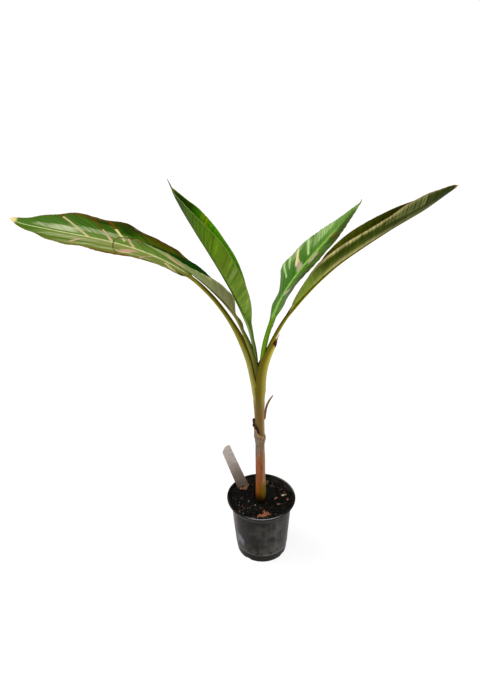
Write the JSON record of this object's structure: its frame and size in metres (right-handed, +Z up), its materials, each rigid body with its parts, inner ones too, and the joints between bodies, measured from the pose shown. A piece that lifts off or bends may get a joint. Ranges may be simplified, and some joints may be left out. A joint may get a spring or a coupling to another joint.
{
  "type": "potted banana plant",
  "caption": "Young banana plant in a round nursery pot: a slim pseudostem that forks into arching, folded and streaked leaves, with a torn dry sheath and a blank plant label.",
  "frame": {"origin": "centre of the pot's flat underside, on the surface that the pot stands on", "axes": "+Z up along the pot's axis; -Y is the front, from which the leaves fan out to both sides; +X to the right as seen from the front"},
  "size_m": [0.6443, 0.1968, 0.6213],
  "materials": {
    "pot": "satin",
    "potting_mix": "matte",
    "plant_label": "satin",
    "pseudostem": "satin",
    "dry_sheath": "matte",
    "old_sheath": "satin",
    "petiole": "satin",
    "leaf_blade": "satin"
  },
  "bodies": {
    "root": {"pot": "pot", "potting_mix": "potting_mix", "plant_label": "plant_label", "pseudostem": "pseudostem", "sheath_collar": "dry_sheath", "dried_strip": "dry_sheath", "sheath_stub": "old_sheath", "petiole_outer_left": "petiole", "blade_outer_left": "leaf_blade", "petiole_inner_left": "petiole", "blade_inner_left": "leaf_blade", "petiole_back_left": "petiole", "blade_back_left": "leaf_blade", "petiole_inner_right": "petiole", "blade_inner_right": "leaf_blade", "petiole_outer_right": "petiole", "blade_outer_right": "leaf_blade"}
  },
  "joints": []
}
